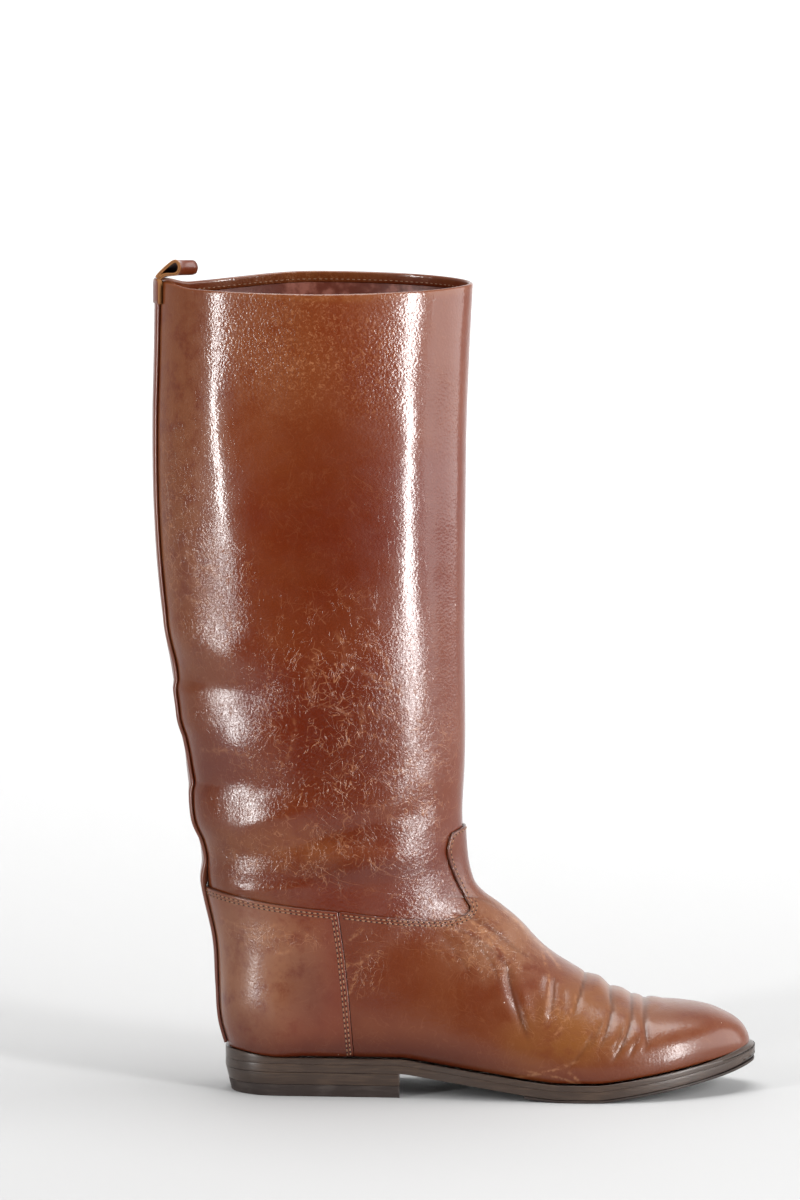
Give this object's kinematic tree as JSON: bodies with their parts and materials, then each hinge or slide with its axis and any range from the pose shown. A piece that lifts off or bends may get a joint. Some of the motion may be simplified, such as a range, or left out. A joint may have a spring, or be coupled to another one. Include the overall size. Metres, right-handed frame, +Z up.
{
  "type": "leather riding boot",
  "caption": "Tall pull-on leather riding boot for the right foot, with a low stacked heel, lapped vamp and heel counter, back strap and pull loop.",
  "frame": {"origin": "on the floor, at the middle of the heel's tread", "axes": "+X points to the toe, +Y to the inner side of the foot, +Z up"},
  "size_m": [0.3106, 0.0908, 0.4326],
  "materials": {
    "shaft_leather": "glossy chestnut leather, worn and crackled",
    "panel_leather": "glossy chestnut leather, waxed",
    "strap_leather": "glossy brown leather with raw edges",
    "lining_leather": "smooth lining leather",
    "sole_leather": "dyed and burnished sole leather edge",
    "sole_rubber": "matt dark rubber"
  },
  "bodies": {
    "root": {"upper": "shaft_leather", "vamp": "panel_leather", "counter": "panel_leather", "back_strap": "strap_leather", "pull_loop": "strap_leather", "insole": "lining_leather", "midsole": "sole_leather", "outsole": "sole_leather", "half_sole": "sole_rubber", "heel_stack": "sole_leather", "heel_top_piece": "sole_rubber"}
  },
  "joints": []
}
